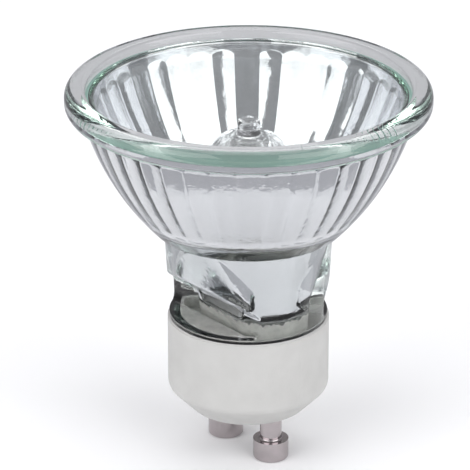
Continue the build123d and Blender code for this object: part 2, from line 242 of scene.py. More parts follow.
def pole_faces(first, columns, pole):
    """Triangles between one row of the grid and a pole point."""
    column = np.arange(columns)
    following = (column + 1) % columns
    return np.stack([first + following, first + column, np.full(columns, pole)], axis=-1)


def enclosed(points, faces):
    """Signed volume: the sum over fan triangles of p0 . (p1 x p2) / 6."""
    total = 0.0
    for k in range(1, faces.shape[1] - 1):
        p0, p1, p2 = points[faces[:, 0]], points[faces[:, k]], points[faces[:, k + 1]]
        total += np.einsum("ij,ij->", p0, np.cross(p1, p2)) / 6
    return total


def facing(points, quads, triangles, outwards=True):
    """The same faces, turned over together where their volume has the wrong sign."""
    volume = enclosed(points, quads) + (enclosed(points, triangles) if len(triangles) else 0.0)
    if (volume > 0) == outwards:
        return quads, triangles
    return quads[:, ::-1], triangles[:, ::-1]


def put_mesh(name, points, quads, triangles, sharp_angle, materials, quad_slots=None):
    """A smooth-shaded mesh object from point, quad and triangle arrays."""
    mesh = bpy.data.meshes.new(name)
    corners = np.concatenate([quads.ravel(), triangles.ravel()]).astype(np.int32)
    counts = np.concatenate([np.full(len(quads), 4), np.full(len(triangles), 3)])
    starts = np.concatenate([[0], np.cumsum(counts)[:-1]]).astype(np.int32)
    mesh.vertices.add(len(points))
    mesh.vertices.foreach_set("co", points.astype(np.float32).ravel())
    mesh.loops.add(len(corners))
    mesh.loops.foreach_set("vertex_index", corners)
    mesh.polygons.add(len(counts))
    mesh.polygons.foreach_set("loop_start", starts)
    for material in materials:
        mesh.materials.append(material)
    if quad_slots is not None:
        slots = np.concatenate([quad_slots, np.zeros(len(triangles))]).astype(np.int32)
        mesh.polygons.foreach_set("material_index", slots)
    mesh.update(calc_edges=True)
    mesh.shade_smooth()
    mesh.set_sharp_from_angle(angle=sharp_angle)
    piece = bpy.data.objects.new(name, mesh)
    bpy.context.scene.collection.objects.link(piece)
    return piece


def ring_points(radii, angle, heights):
    """Points of a grid of rings: (radius cos angle, radius sin angle, height)."""
    return np.stack([radii * np.cos(angle), radii * np.sin(angle), heights], axis=-1).reshape(-1, 3)


def loop_of_rings(radii, angle, heights):
    """Closed surface of rings whose last row joins the first, as round a body with a hole through it."""
    points = ring_points(radii, angle, heights)
    quads = ring_faces(*radii.shape, close_rows=True)
    return points, *facing(points, quads, np.zeros((0, 3), int))


def shell_of_rings(radii, angle, heights, low_pole, high_pole, outwards=True):
    """Closed surface of rings, capped by two poles on the axis."""
    rows, columns = radii.shape
    rings = ring_points(radii, angle, heights)
    points = np.concatenate([rings, [[0, 0, low_pole], [0, 0, high_pole]]])
    quads = ring_faces(rows, columns)
    low = pole_faces(0, columns, len(rings))
    high = pole_faces((rows - 1) * columns, columns, len(rings) + 1)[:, ::-1]
    triangles = np.concatenate([low, high])
    return points, *facing(points, quads, triangles, outwards)


class Glasswork:
    """Heights and radii of the reflector, worked out from the frame and the sizes."""

    def __init__(self, sizes):
        self.sizes = sizes
        self.bowl_foot = base_high.z + sizes.neck_height
        self.bowl_mouth = self.bowl_foot + sizes.bowl_height
        self.ledge = glass_high.z - sizes.pocket_depth
        self.cement_top = self.bowl_foot - sizes.throat_depth
        self.slot_top = base_high.z + sizes.notch_floor + sizes.notch_back
        self.bowl_floor = self.bowl_foot + sizes.floor_rise
        self.rim_radius = glass_high.x
        self.pocket_radius = self.rim_radius - sizes.bead_width
        self.mouth_radius = self.rim_radius - sizes.bead_overhang
        self.neck_low = base_high.x - sizes.neck_setback
        self.neck_high = self.neck_low + sizes.neck_flare
        self.foot_radius = self.neck_high + sizes.bowl_step
        self.spigot_radius = base_high.x - sizes.spigot_inset
        across = self.mouth_radius - self.foot_radius
        chord = sqrt(across**2 + sizes.bowl_height**2)
        self.arc = (chord**2 / 4 + sizes.bowl_bulge**2) / (2 * sizes.bowl_bulge)
        shift = (self.arc - sizes.bowl_bulge) / chord
        self.arc_r = (self.foot_radius + self.mouth_radius) / 2 - sizes.bowl_height * shift
        self.arc_z = (self.bowl_foot + self.bowl_mouth) / 2 + across * shift
        self.inside_arc = self.arc - sizes.bowl_wall
        self.crest_arc = self.inside_arc - sizes.rib_height

    def turn_at(self, arc, height):
        """Angle about the bowl arc's centre at which a concentric arc has the given height."""
        return asin((height - self.arc_z) / arc)

    def radius_at(self, arc, height):
        """Radius of an outline concentric with the bowl's, at the given height."""
        return self.arc_r + sqrt(arc**2 - (height - self.arc_z) ** 2)


def spigot_rows(glass, angle):
    """Rows of the spigot: a circle cut by two flats, radius = min(R, flat / |sin angle|)."""
    outline = np.minimum(glass.spigot_radius, flat_side(glass.sizes.notch_flat, np.sin(angle)))
    heights = np.array([glass_low.z, base_high.z])[:, None]
    return np.broadcast_to(outline, (2, len(angle))), heights + 0 * angle


def neck_rows(glass, angle):
    """Rows of the neck with its notches.

    A notch is a profile of depth u against height: floor, back and sloping roof. Its floor
    rises slightly inwards. Each row's radius is the soft minimum of the neck's cone and
    u / |sin angle|, less small waves.
    """
    s = glass.sizes
    past_neck, floor_tilt = 1.5 * MM, 0.06 * MM
    notch_step, roof_step, plain_step = 0.75 * MM, 0.2 * MM, 1.2 * MM
    far = glass.neck_high + past_neck
    floor = base_high.z + s.notch_floor
    corner = floor + s.notch_back
    roof_end = corner + (far - s.notch_flat) * tan(s.notch_slope)
    neck_end = glass.bowl_foot - 2 * s.neck_root_round
    start = rounded_path([(far, base_high.z), (far, floor)], [0, 0])
    notch = rounded_path(
        [
            (far, floor + floor_tilt / 6),
            (s.notch_flat, floor + floor_tilt),
            (s.notch_flat, corner),
            (far, roof_end),
        ],
        [0, s.notch_round, s.notch_round, 0],
        steps=8,
    )
    notch = with_steps(notch, notch_step)
    roof = with_steps(notch[-2:], roof_step)
    plain = with_steps(np.array([(far, roof_end), (far, neck_end)]), plain_step)
    path = np.concatenate([start, notch[:-2], roof, plain[1:]])
    depth, height = path[:, 0:1], path[:, 1:2]
    share = (height - base_high.z) / s.neck_height
    cone = glass.neck_low + s.neck_flare * share
    radii = soft_min(cone + 0 * angle, flat_side(depth, np.sin(angle)), s.notch_lip)
    return radii - s.neck_ripple * waves(angle, height, 3), height + 0 * angle


def outside_rows(glass, angle):
    """Rows from the neck's root up the bowl, round the bead and in over the ledge.

    They are circles, whose radius is the outline's less small waves.
    """
    s = glass.sizes
    bowl_rows = 18
    low_turn = glass.turn_at(glass.arc, glass.bowl_foot)
    high_turn = glass.turn_at(glass.arc, glass.bowl_mouth)
    turns = np.linspace(low_turn, high_turn, bowl_rows + 1)[1:]
    bowl = np.stack(
        [glass.arc_r + glass.arc * np.cos(turns), glass.arc_z + glass.arc * np.sin(turns)], axis=1
    )
    neck_end = glass.bowl_foot - 2 * s.neck_root_round
    cone = glass.neck_high - s.neck_flare * (glass.bowl_foot - neck_end) / s.neck_height
    low = rounded_path(
        [
            (cone, neck_end),
            (glass.neck_high, glass.bowl_foot),
            (glass.foot_radius, glass.bowl_foot),
            bowl[0],
        ],
        [0, s.neck_root_round, s.bowl_foot_round, 0],
    )
    bead = rounded_path(
        [
            bowl[-1],
            (glass.rim_radius, glass.bowl_mouth),
            (glass.rim_radius, glass_high.z),
            (glass.pocket_radius, glass_high.z),
            (glass.pocket_radius, glass.ledge),
            (glass.radius_at(glass.inside_arc, glass.ledge), glass.ledge),
        ],
        [0, s.bead_round, s.bead_round, s.bead_inner_round, 0, 0],
        steps=9,
    )
    path = np.concatenate([low[1:], bowl[1:-1], bead])
    radii = path[:, 0:1] - s.ripple * waves(angle, path[:, 1:2], 1)
    return radii, path[:, 1:2] + 0 * angle


def rib_columns(sizes):
    """Angles of the mesh columns, drawn together towards the creases between the ribs.

    Within a rib, from -1/2 to 1/2 across it, a column stands at u + g sin(2 pi u) / 2 pi,
    where g says how strongly they are drawn together.
    """
    gathering = 0.6
    across = np.arange(sizes.columns_per_rib) / sizes.columns_per_rib - 0.5
    across = across + gathering * np.sin(2 * pi * across) / (2 * pi)
    rib = np.arange(sizes.rib_count)[:, None]
    return sizes.rib_turn + ((rib + across) * 2 * pi / sizes.rib_count).ravel()


def rib_rows(glass, angle):
    """Rows of the ribbed wall, from the ledge down.

    A row stands at one turn about the bowl arc's centre. At a distance y to the side of
    its middle plane a rib's face lies deeper than its crest by d = r - sqrt(r^2 - y^2).
    Past the end of the full height it follows a circle of radius e - d about a point that
    lies e under the crest. The wall is the innermost of two neighbouring ribs and plain arc.
    The distance y needs the wall's own radius, so both are worked out a few times in turn.
    """
    s = glass.sizes
    top_rows, face_rows, foot_rows = 18, 16, 13
    passes, wall_crease = 5, 0.03 * MM
    top = glass.turn_at(glass.inside_arc, glass.ledge)
    high = glass.turn_at(glass.crest_arc, glass.ledge - s.rib_top_drop)
    low = glass.turn_at(glass.crest_arc, glass.bowl_foot + s.rib_foot_rise)
    bottom = glass.turn_at(glass.inside_arc, glass.bowl_floor)
    turn = np.concatenate([
        np.linspace(top, high, top_rows + 2)[1:-1],
        np.linspace(high, low, face_rows),
        np.linspace(low, bottom, foot_rows + 1)[1:],
    ])[:, None]
    pitch = 2 * pi / s.rib_count
    aside = (angle - s.rib_turn + pitch / 2) % pitch - pitch / 2
    past = np.maximum(np.maximum(turn - high, low - turn), 0.0)
    centre = glass.crest_arc + s.rib_end_round
    rho = np.full((len(turn), len(angle)), glass.inside_arc)
    for _ in range(passes):
        radius = glass.arc_r + rho * np.cos(turn)
        faces = []
        for off in (np.abs(aside), pitch - np.abs(aside)):
            drop = s.rib_crown - np.sqrt(s.rib_crown**2 - (radius * np.sin(off)) ** 2)
            reach = (s.rib_end_round - drop) ** 2 - (centre * np.sin(past)) ** 2
            end = centre * np.cos(past) - np.sqrt(np.maximum(reach, 0.0))
            face = np.where(past > 0, end, glass.crest_arc + drop)
            faces.append(face + radius * (1 - np.cos(off)) * np.cos(turn))
        ribs = soft_min(faces[0], faces[1], s.rib_crease)
        rho = soft_min(ribs, np.full_like(rho, glass.inside_arc), wall_crease)
    radii = glass.arc_r + rho * np.cos(turn)
    heights = glass.arc_z + rho * np.sin(turn)
    return radii, heights


def hollow_radius(glass, heights, angle, gap=0.0):
    """Radius of the hollow below the bowl, less a gap: a taper with two flat sides.

    The taper's radius falls evenly down to the base's rim. The flat sides stand upright up
    to the notches' roofs, and lean apart from there up to the taper's width at the bowl's
    foot: radius = soft minimum of taper and w / |sin angle|.
    """
    s = glass.sizes
    slope = (s.throat_radius - s.slot_end_radius) / s.neck_height
    lean = (s.throat_radius - s.slot_width / 2) / (glass.bowl_foot - glass.slot_top)
    taper = s.slot_end_radius + slope * np.maximum(heights - base_high.z, 0.0)
    side = s.slot_width / 2 + lean * np.maximum(heights - glass.slot_top, 0.0)
    return soft_min(taper, flat_side(side, np.sin(angle)), s.slot_round) - gap


def inside_rows(glass, angle):
    """Rows of the bowl's floor cone, the throat's rounded mouth and the hollow below it.

    The hollow's rows stand closer together where the silvering ends.
    """
    s = glass.sizes
    cone_step = 1.8 * MM
    throat_rows, torn_rows, spigot_levels = 9, 12, 4
    mouth_end = glass.bowl_foot - 2 * s.throat_round
    path = rounded_path(
        [
            (glass.radius_at(glass.inside_arc, glass.bowl_floor), glass.bowl_floor),
            (s.throat_radius, glass.bowl_foot),
            (s.throat_radius, mouth_end),
        ],
        [0, s.throat_round, 0],
    )
    path = with_steps(path[:-1], cone_step)[1:]
    film_end = base_high.z + s.film_foot
    deep = np.concatenate([
        np.linspace(mouth_end, film_end + s.film_tear, throat_rows)[:-1],
        np.linspace(film_end + s.film_tear, film_end - s.film_tear, torn_rows)[:-1],
        np.linspace(film_end - s.film_tear, glass_low.z, spigot_levels),
    ])[:, None]
    radii = np.concatenate([path[:, 0:1] + 0 * angle, hollow_radius(glass, deep, angle)])
    return radii, np.concatenate([path[:, 1:2], deep]) + 0 * angle


def film_slots(glass, angle, heights, first_inside):
    """Material of each face on the grid: 0 bare glass, 1 silvered, 2 bonded with cement.

    The spigot's two rows and what lies inside below the silvering's lower edge are bonded.
    That edge rises and falls by waves with five times the usual turns.
    """
    s = glass.sizes
    band = np.arange(len(heights))[:, None]
    inside = band >= first_inside
    torn = s.film_tear * (waves(5 * angle, heights, 4) - 0.5)
    bonded = (band < 2) | (inside & (heights < base_high.z + s.film_foot + torn))
    return np.where(bonded, 2, np.where(inside, 1, 0)).ravel()


def capsule_outside(s, angle, hollow_low, dome_top, tip_top):
    """Rows of the capsule's outside, from the tip down to the pinch's foot.

    The tube is round down to the shoulder. There the radius is the soft minimum of the
    circle, flat sides w / |sin angle| that close in as the shoulder's share to the power
    1.3, and edges w / |cos angle|. Waves roughen it, less towards the axis.
    """
    radius = capsule_high.x
    outline_step, closing, clear_of_tube, edge_clear, far_away = 0.5 * MM, 1.3, 1.12, 1.2, 1.0
    pinch_top = hollow_low - s.shoulder_height
    outline = rounded_path(
        [
            (NEAR_AXIS, tip_top),
            (s.tip_radius, tip_top),
            (s.tip_radius, dome_top),
            (radius, dome_top),
            (radius, capsule_low.z),
        ],
        [0, s.tip_round, s.tip_root_round, s.dome_round, 0],
        steps=12,
    )
    outline = with_steps(outline, outline_step)
    height = outline[:, 1:2]
    share = np.clip((height - pinch_top) / s.shoulder_height, 0, 1)
    thin = s.pinch_thickness / 2
    half_thickness = thin + (radius * clear_of_tube - thin) * share**closing
    half_width = np.where(height < pinch_top, s.pinch_width / 2, radius * edge_clear)
    flat = np.where(share < 1, flat_side(half_thickness, np.sin(angle)), far_away)
    wide = flat_side(half_width, np.cos(angle))
    tube = outline[:, 0:1] + 0 * angle
    squeezed = soft_min(soft_min(tube, flat, s.pinch_round), wide, s.pinch_round)
    dent = s.quartz_ripple * waves(angle, height, 2) * np.minimum(squeezed / radius, 1)
    return squeezed - dent, height + 0 * angle


def capsule_hollow(s, angle, hollow_low, hollow_top):
    """Rows of the capsule's hollow, circles less waves that fade towards the axis."""
    radius = capsule_high.x - s.capsule_wall
    hollow_step = 0.7 * MM
    outline = rounded_path(
        [(NEAR_AXIS, hollow_top), (radius, hollow_top), (radius, hollow_low), (NEAR_AXIS, hollow_low)],
        [0, s.dome_round - s.capsule_wall, s.hollow_round, 0],
        steps=12,
    )
    outline = with_steps(outline, hollow_step)
    rim, height = outline[:, 0:1], outline[:, 1:2]
    dent = s.quartz_ripple * waves(angle, height, 5) * rim / capsule_high.x
    return rim - dent, height + 0 * angle


def coiled_wire(s):
    """Surface of a wire wound into a fine coil, which is wound into an upright coil.

    The upright coil's line is a helix. The wire's line stands off it by the fine coil's
    radius less the wire's, and goes round it once for each inner turn. Its surface is
    line + r (cos a away + sin a side), away pointing from the helix to the wire's line.
    """
    steps_per_turn, sides = 11, 6
    steps = s.inner_turns * steps_per_turn
    t = np.linspace(0, 1, steps)[:, None]
    turn = 2 * pi * s.coil_turns * t
    reach = coil_high.x - s.fine_coil
    low, high = coil_low.z + s.fine_coil, coil_high.z - s.fine_coil
    centre = np.hstack([reach * np.cos(turn), reach * np.sin(turn), low + (high - low) * t])
    along = np.gradient(centre, axis=0)
    along /= np.linalg.norm(along, axis=1, keepdims=True)
    out = np.hstack([np.cos(turn), np.sin(turn), 0 * turn])
    up = np.cross(along, out)
    fine = 2 * pi * s.inner_turns * t
    away = np.cos(fine) * out + np.sin(fine) * up
    line = centre + (s.fine_coil - s.coil_wire) * away
    run = np.gradient(line, axis=0)
    run /= np.linalg.norm(run, axis=1, keepdims=True)
    side = np.cross(run, away)
    about = np.arange(sides)[None, :, None] * 2 * pi / sides
    rings = line[:, None] + s.coil_wire * (np.cos(about) * away[:, None] + np.sin(about) * side[:, None])
    points = np.concatenate([rings.reshape(-1, 3), line[:1], line[-1:]])
    first_pole = steps * sides
    low_cap = pole_faces(0, sides, first_pole)
    high_cap = pole_faces(first_pole - sides, sides, first_pole + 1)[:, ::-1]
    return points, *facing(points, ring_faces(steps, sides), np.concatenate([low_cap, high_cap]))


def new_finish(name, base, roughness, **settings):
    """A material with one Principled shader. Settings are socket names with underscores for spaces."""
    material = bpy.data.materials.new(name)
    material.use_nodes = True
    shader = material.node_tree.nodes["Principled BSDF"]
    shader.inputs["Base Color"].default_value = (*base, 1.0)
    shader.inputs["Roughness"].default_value = roughness
    for key, value in settings.items():
        shader.inputs[key.replace("_", " ")].default_value = value
    return material, shader


def noise(material, scale, detail, stretch=(1, 1, 1)):
    """A Noise texture on Object coordinates. The scale is in cells per metre."""
    nodes, links = material.node_tree.nodes, material.node_tree.links
    place = nodes.new("ShaderNodeTexCoord")
    mapping = nodes.new("ShaderNodeMapping")
    mapping.inputs["Scale"].default_value = stretch
    texture = nodes.new("ShaderNodeTexNoise")
    texture.inputs["Scale"].default_value = scale
    texture.inputs["Detail"].default_value = detail
    links.new(place.outputs["Object"], mapping.inputs["Vector"])
    links.new(mapping.outputs["Vector"], texture.inputs["Vector"])
    return texture.outputs["Fac"]


def spread(material, value, low, high, source=(0.3, 0.7)):
    """A value mapped from one range onto another."""
    ramp = material.node_tree.nodes.new("ShaderNodeMapRange")
    ramp.inputs["From Min"].default_value, ramp.inputs["From Max"].default_value = source
    ramp.inputs["To Min"].default_value, ramp.inputs["To Max"].default_value = low, high
    material.node_tree.links.new(value, ramp.inputs["Value"])
    return ramp.outputs["Result"]


def shade(tint, share):
    """A darker shade of a colour."""
    return tuple(share * c for c in tint)


def mottle(material, shader, value, first, second):
    """The base colour runs between two colours with a value."""
    mix = material.node_tree.nodes.new("ShaderNodeMix")
    mix.data_type = "RGBA"
    colours = [s for s in mix.inputs if s.type == "RGBA"]
    colours[0].default_value = (*first, 1.0)
    colours[1].default_value = (*second, 1.0)
    result = [s for s in mix.outputs if s.type == "RGBA"][0]
    material.node_tree.links.new(value, mix.inputs["Factor"])
    material.node_tree.links.new(result, shader.inputs["Base Color"])


def uneven(material, shader, value, height):
    """A bump of the given height, in metres, drives the shader's normal."""
    bump = material.node_tree.nodes.new("ShaderNodeBump")
    bump.inputs["Distance"].default_value = height
    material.node_tree.links.new(value, bump.inputs["Height"])
    material.node_tree.links.new(bump.outputs["Normal"], shader.inputs["Normal"])


def absorbing(material, tint, density):
    """Clear glass that takes up a little light along the way through it."""
    tree = material.node_tree
    volume = tree.nodes.new("ShaderNodeVolumeAbsorption")
    volume.inputs["Color"].default_value = (*tint, 1.0)
    volume.inputs["Density"].default_value = density
    tree.links.new(volume.outputs["Volume"], tree.nodes["Material Output"].inputs["Volume"])


def dress(node, material):
    """A CAD node keeps its mesh and takes the material."""
    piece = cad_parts[node]
    piece.data.materials.clear()
    piece.data.materials.append(material)


def pressed_glass(finishes):
    """Clear pressed glass with a green tint and a slightly uneven face."""
    material, shader = new_finish("pressed_glass", (1, 1, 1), 0.0, Transmission_Weight=1.0, IOR=1.52)
    absorbing(material, finishes.glass_tint, density=10.0)
    uneven(material, shader, noise(material, scale=420.0, detail=2.0), height=0.02 * MM)
    return material


def silvering(finishes):
    """The metal film on the glass: a mirror with fine waves and a few duller patches."""
    material, shader = new_finish("silvering", finishes.silver, 0.05, Metallic=1.0)
    dull = spread(material, noise(material, scale=900.0, detail=3.0), low=0.03, high=0.10)
    material.node_tree.links.new(dull, shader.inputs["Roughness"])
    uneven(material, shader, noise(material, scale=850.0, detail=3.0), height=0.022 * MM)
    return material


def fired_ceramic(finishes):
    """Matt white ceramic with faint cloudy mottling and a fine pressed grain."""
    material, shader = new_finish("fired_ceramic", finishes.ceramic, 0.62)
    cloud = noise(material, scale=260.0, detail=4.0)
    tone = spread(material, cloud, low=0.0, high=1.0)
    mottle(material, shader, tone, finishes.ceramic, shade(finishes.ceramic, 0.93))
    gloss = spread(material, cloud, low=0.5, high=0.72)
    material.node_tree.links.new(gloss, shader.inputs["Roughness"])
    uneven(material, shader, noise(material, scale=2600.0, detail=4.0), height=0.02 * MM)
    return material


def lamp_cement(finishes, name="lamp_cement"):
    """Dry cement with a coarse, crumbly face."""
    material, shader = new_finish(name, finishes.cement, 0.9)
    cloud = spread(material, noise(material, scale=700.0, detail=5.0), low=0.0, high=1.0)
    mottle(material, shader, cloud, finishes.cement, shade(finishes.cement, 0.8))
    uneven(material, shader, noise(material, scale=1500.0, detail=6.0), height=0.1 * MM)
    return material


def drawn_metal(name, base, roughness, grain_scale, grain_height):
    """Metal with fine drawing marks along Z, and uneven gloss."""
    material, shader = new_finish(name, base, roughness, Metallic=1.0)
    marks = noise(material, grain_scale, detail=3.0, stretch=(1, 1, 0.12))
    gloss = spread(material, marks, low=0.7 * roughness, high=1.5 * roughness)
    material.node_tree.links.new(gloss, shader.inputs["Roughness"])
    uneven(material, shader, marks, grain_height)
    cloud = spread(material, noise(material, scale=500.0, detail=2.0), low=0.0, high=1.0)
    mottle(material, shader, cloud, base, shade(base, 0.82))
    return material


def braided_fibre(finishes):
    """Woven glass sleeve: two sets of fine diagonal threads."""
    threads_per_metre = 900.0
    material, shader = new_finish("braided_fibre", finishes.fibre, 0.75)
    tree = material.node_tree
    place = tree.nodes.new("ShaderNodeTexCoord")
    sets = []
    for tilt in (radians(45), radians(-45)):
        mapping = tree.nodes.new("ShaderNodeMapping")
        mapping.inputs["Rotation"].default_value = (0, tilt, 0)
        threads = tree.nodes.new("ShaderNodeTexWave")
        threads.inputs["Scale"].default_value = threads_per_metre
        tree.links.new(place.outputs["Object"], mapping.inputs["Vector"])
        tree.links.new(mapping.outputs["Vector"], threads.inputs["Vector"])
        sets.append(threads.outputs["Fac"])
    weave = tree.nodes.new("ShaderNodeMath")
    weave.operation = "MAXIMUM"
    tree.links.new(sets[0], weave.inputs[0])
    tree.links.new(sets[1], weave.inputs[1])
    mottle(material, shader, weave.outputs["Value"], shade(finishes.fibre, 0.75), finishes.fibre)
    uneven(material, shader, weave.outputs["Value"], height=0.05 * MM)
    return material


class BULB_OT_reflector(bpy.types.Operator):
    """Make the pressed glass reflector with its silvered ribs"""

    bl_idname = "bulb.reflector"
    bl_label = "Reflector"

    def execute(self, context):
        sizes, finishes = context.scene.bulb_sizes, context.scene.bulb_finishes
        glass = Glasswork(sizes)
        angle = rib_columns(sizes)
        outside = [spigot_rows(glass, angle), neck_rows(glass, angle), outside_rows(glass, angle)]
        first_inside = sum(len(rows[0]) for rows in outside) - 1
        parts = [*outside, rib_rows(glass, angle), inside_rows(glass, angle)]
        radii = np.concatenate([rows[0] for rows in parts])
        heights = np.concatenate([rows[1] for rows in parts])
        if not np.isfinite(radii).all():
            raise RuntimeError("the reflector's rows aren't all finite")
        materials = [pressed_glass(finishes), silvering(finishes), lamp_cement(finishes, "bonded_face")]
        piece = put_mesh(
            "reflector_glass", *loop_of_rings(radii, angle, heights), radians(40), materials,
            film_slots(glass, angle, heights, first_inside),
        )
        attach(piece, BODY)
        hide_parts("reflector")
        return {"FINISHED"}


class BULB_OT_cover(bpy.types.Operator):
    """Finish the cover glass and its clear seal"""

    bl_idname = "bulb.cover"
    bl_label = "Cover glass"

    def execute(self, context):
        finishes = context.scene.bulb_finishes
        clear, shader = new_finish("cover_clear", (1, 1, 1), 0.0, Transmission_Weight=1.0, IOR=1.5)
        absorbing(clear, finishes.glass_tint, density=40.0)
        uneven(clear, shader, noise(clear, scale=160.0, detail=1.0), height=0.004 * MM)
        seal, shader = new_finish(
            "seal_clear", finishes.seal_tint, 0.25, Transmission_Weight=0.45, IOR=1.48
        )
        uneven(seal, shader, noise(seal, scale=900.0, detail=2.0), height=0.06 * MM)
        dress("cover_glass", clear)
        dress("cover_seal", seal)
        return {"FINISHED"}


class BULB_OT_capsule(bpy.types.Operator):
    """Make the quartz capsule with its sealing tip, squeezed foot and hollow"""

    bl_idname = "bulb.capsule"
    bl_label = "Capsule"

    def execute(self, context):
        s, finishes = context.scene.bulb_sizes, context.scene.bulb_finishes
        columns = 128
        angle = np.arange(columns) * 2 * pi / columns
        hollow_low = Glasswork(s).bowl_foot + s.capsule_rise
        dome_top = hollow_low + s.capsule_length
        tip_top = dome_top + s.tip_height
        hollow_top = dome_top - s.capsule_wall
        radii, heights = capsule_outside(s, angle, hollow_low, dome_top, tip_top)
        outer = shell_of_rings(radii, angle, heights, tip_top, capsule_low.z)
        radii, heights = capsule_hollow(s, angle, hollow_low, hollow_top)
        inner = shell_of_rings(radii, angle, heights, hollow_top, hollow_low, outwards=False)
        points = np.concatenate([outer[0], inner[0]])
        quads = np.concatenate([outer[1], inner[1] + len(outer[0])])
        triangles = np.concatenate([outer[2], inner[2] + len(outer[0])])
        quartz, shader = new_finish("quartz", (1, 1, 1), 0.0, Transmission_Weight=1.0, IOR=1.46)
        absorbing(quartz, finishes.quartz_tint, density=45.0)
        drawn = noise(quartz, scale=420.0, detail=2.5, stretch=(1, 1, 0.6))
        uneven(quartz, shader, drawn, height=0.07 * MM)
        piece = put_mesh("capsule_quartz", points, quads, triangles, radians(50), [quartz])
        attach(piece, BODY)
        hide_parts("capsule_envelope")
        return {"FINISHED"}


class BULB_OT_capsule_cement(bpy.types.Operator):
    """Make the cement that holds the capsule's pinch in the neck"""

    bl_idname = "bulb.capsule_cement"
    bl_label = "Capsule cement"

    def execute(self, context):
        s, finishes = context.scene.bulb_sizes, context.scene.bulb_finishes
        glass = Glasswork(s)
        columns, rows = 192, 12
        angle = np.arange(columns) * 2 * pi / columns
        levels = np.linspace(capsule_low.z, glass.cement_top, rows)[:, None]
        wall = hollow_radius(glass, levels, angle, s.seat_gap)
        hole = np.minimum(
            flat_side(s.pinch_thickness / 2 + s.seat_gap, np.sin(angle)),
            flat_side(s.pinch_width / 2 + s.seat_gap, np.cos(angle)),
        )
        radii = np.concatenate([wall, hole[None], hole[None]])
        heights = np.concatenate([levels, levels[-1:], levels[:1]]) + 0 * angle
        piece = put_mesh(
            "capsule_cement_fill", *loop_of_rings(radii, angle, heights), radians(40),
            [lamp_cement(finishes, "neck_cement")],
        )
        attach(piece, BODY)
        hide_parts("capsule_cement")
        return {"FINISHED"}


class BULB_OT_filament(bpy.types.Operator):
    """Make the filament, a fine coil wound into an upright coil"""

    bl_idname = "bulb.filament"
    bl_label = "Filament"

    def execute(self, context):
        s, finishes = context.scene.bulb_sizes, context.scene.bulb_finishes
        wire = drawn_metal(
            "tungsten", finishes.tungsten, roughness=0.3, grain_scale=6000.0, grain_height=0.002 * MM
        )
        piece = put_mesh("filament_coiled_coil", *coiled_wire(s), radians(60), [wire])
        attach(piece, BODY)
        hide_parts("filament")
        return {"FINISHED"}


class BULB_OT_base(bpy.types.Operator):
    """Finish the ceramic base and the cement in it"""

    bl_idname = "bulb.base"
    bl_label = "Ceramic base"

    def execute(self, context):
        finishes = context.scene.bulb_finishes
        dress("base_shell", fired_ceramic(finishes))
        dress("base_cement", lamp_cement(finishes))
        return {"FINISHED"}


class BULB_OT_pins(bpy.types.Operator):
    """Finish the two contact pins"""

    bl_idname = "bulb.pins"
    bl_label = "Contact pins"

    def execute(self, context):
        nickel = context.scene.bulb_finishes.nickel
        plating = drawn_metal(
            "nickel_plating", nickel, roughness=0.16, grain_scale=2400.0, grain_height=0.003 * MM
        )
        for side in ("a", "b"):
            dress(f"contact_pin_{side}", plating)
        return {"FINISHED"}


class BULB_OT_wiring(bpy.types.Operator):
    """Finish the leads, foils, sleeves and fuse inside"""

    bl_idname = "bulb.wiring"
    bl_label = "Wiring"

    def execute(self, context):
        finishes = context.scene.bulb_finishes

        def wire_metal(name, base, roughness):
            return drawn_metal(name, base, roughness, grain_scale=5000.0, grain_height=0.002 * MM)

        moly = wire_metal("molybdenum", finishes.molybdenum, roughness=0.22)
        for run in ("inner_lead_short", "inner_lead_long"):
            dress(run, moly)
        fibre = braided_fibre(finishes)
        for side in ("a", "b"):
            dress(f"foil_{side}", moly)
            dress(f"outer_lead_{side}", moly)
            dress(f"insulating_sleeve_{side}", fibre)
        dress("fuse_link", wire_metal("copper_wire", finishes.copper, roughness=0.25))
        ferrule = drawn_metal(
            "ferrule_metal", finishes.nickel, roughness=0.3, grain_scale=3000.0, grain_height=0.002 * MM
        )
        dress("fuse_ferrule", ferrule)
        return {"FINISHED"}


# The photo's viewpoint: degrees round the bulb, radians of aim, metres and millimetres of lens
CAMERA_AZIMUTH = 50.4
CAMERA_YAW = 0.0039916
CAMERA_PITCH = 0.402675
CAMERA_REACH = 0.468461
CAMERA_HEIGHT = 0.231758
CAMERA_LENS = 281.0


def seen_from(azimuth, elevation):
    """Unit vector towards a viewer at an azimuth from the camera's own and an elevation."""
    turn, rise = radians(CAMERA_AZIMUTH + azimuth), radians(elevation)
    return Vector((sin(turn) * cos(rise), -cos(turn) * cos(rise), sin(rise)))


def softbox(name, azimuth, elevation, distance, width, height, radiance, lean=0.0):
    """A soft light of even radiance, aimed at the bulb's middle and leaned about its own axis.

    Angles are in degrees, the azimuth from the camera's own.
    """
    target = Vector((0, 0, 0.03))
    light = bpy.data.lights.new(name, "AREA")
    light.shape = "RECTANGLE"
    light.size, light.size_y = width, height
    light.energy = radiance * pi * width * height
    lamp = bpy.data.objects.new(name, light)
    lamp.location = target + seen_from(azimuth, elevation) * distance
    aim = seen_from(azimuth, elevation).to_track_quat("Z", "Y")
    lamp.rotation_euler = (aim @ Quaternion((0, 0, 1), radians(lean))).to_euler()
    lamp.visible_camera = False
    bpy.context.scene.collection.objects.link(lamp)


